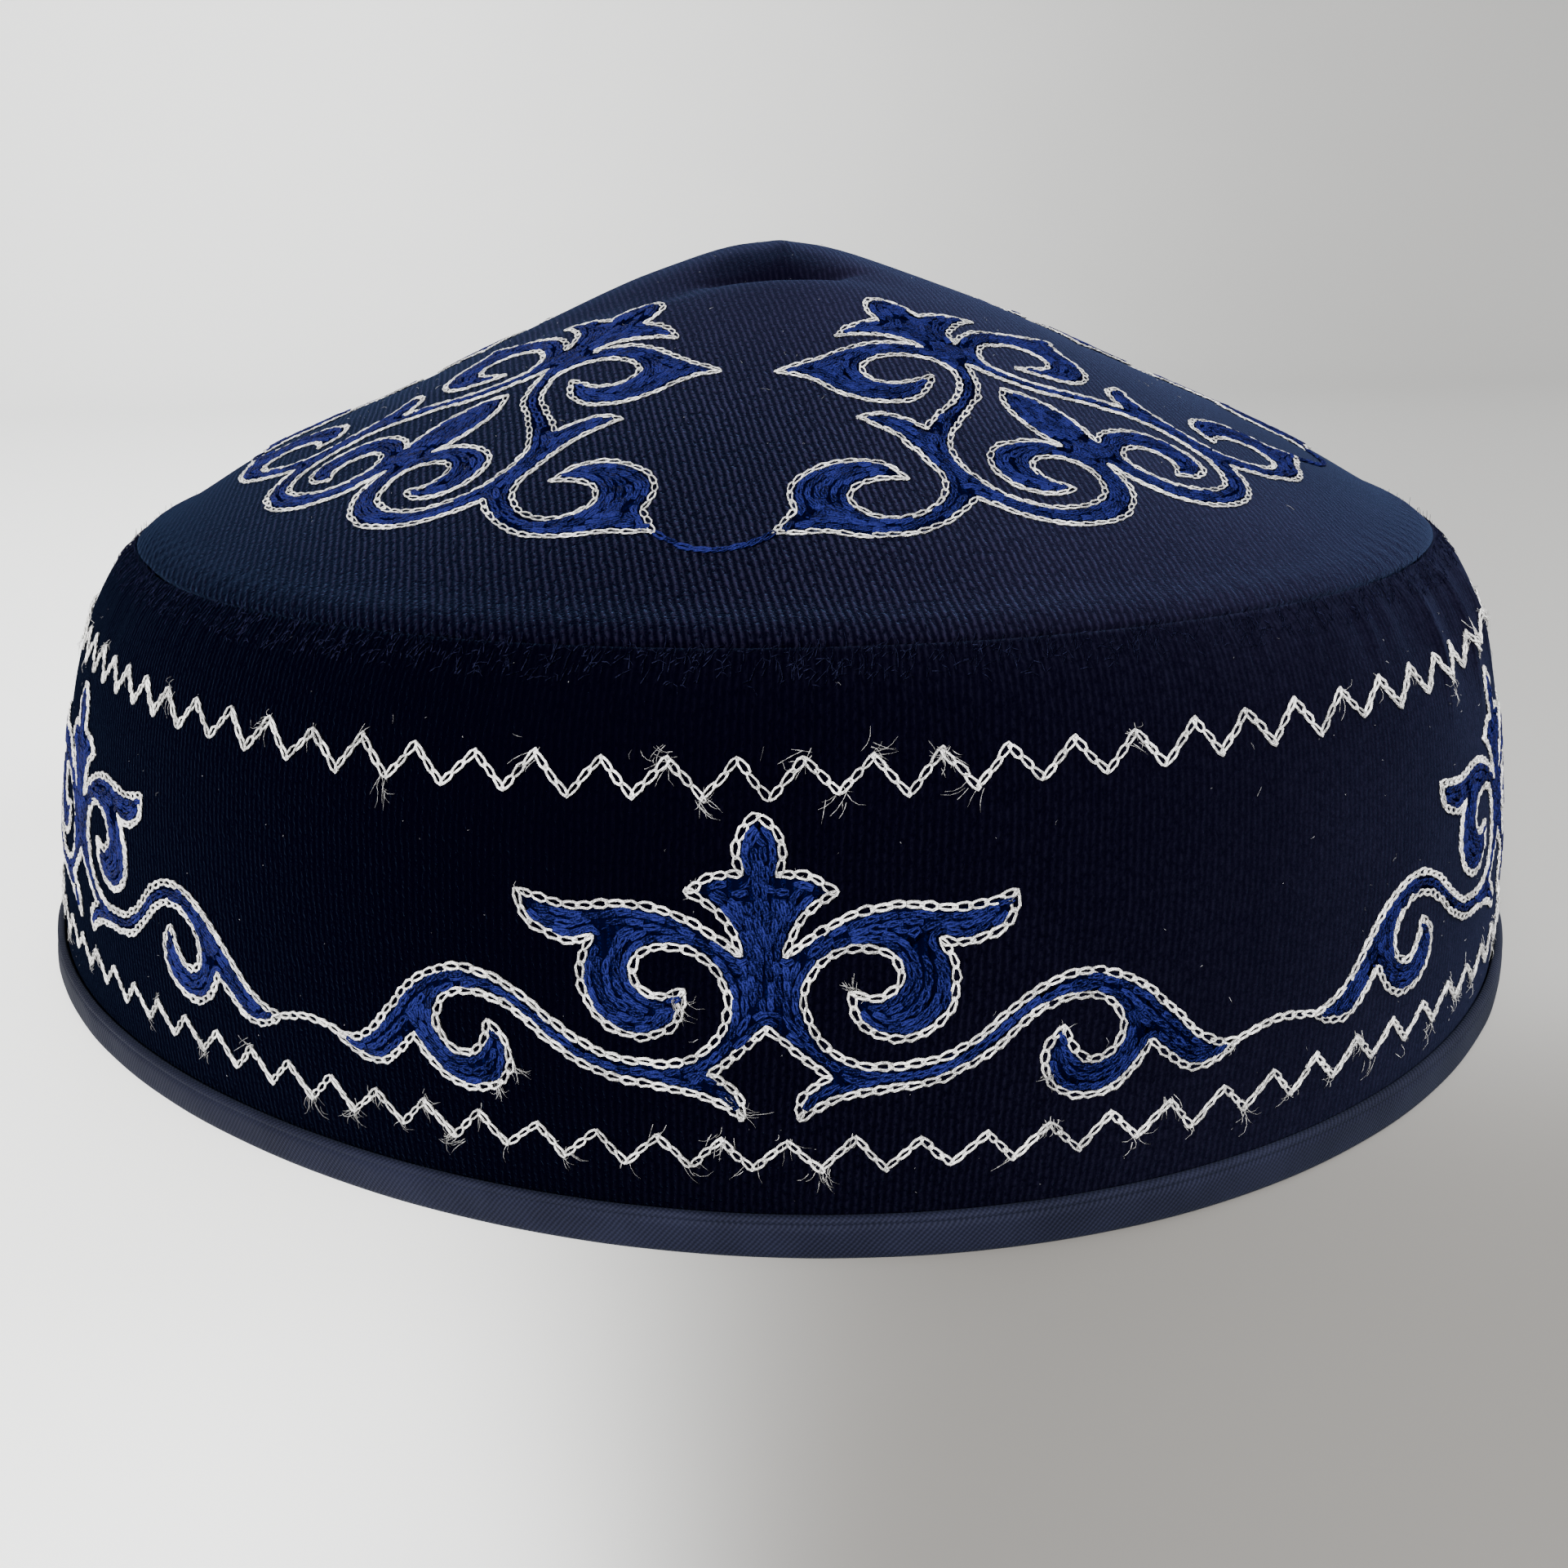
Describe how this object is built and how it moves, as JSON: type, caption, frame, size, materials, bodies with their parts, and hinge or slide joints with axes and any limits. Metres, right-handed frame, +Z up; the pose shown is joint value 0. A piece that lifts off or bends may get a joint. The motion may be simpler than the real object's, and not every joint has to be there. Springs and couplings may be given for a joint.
{
  "type": "embroidered velvet skullcap",
  "caption": "Soft velvet skullcap with a low pointed crown, scroll embroidery in chain stitch and a bound lower edge.",
  "frame": {"origin": "centre of the cap's box on the surface that its rim rests on", "axes": "+Z up through the peak, +X to the wearer's left as the picture shows the front, -Y to the front"},
  "size_m": [0.1962, 0.174, 0.085],
  "materials": {
    "velvet": "fine-ribbed navy velvet",
    "twill_binding": "slate navy twill tape",
    "blue_thread": "royal blue rayon thread in chain stitch",
    "white_thread": "ivory and silver thread in chain stitch"
  },
  "bodies": {
    "root": {"crown": "velvet", "band": "velvet", "binding": "twill_binding"}
  },
  "joints": []
}
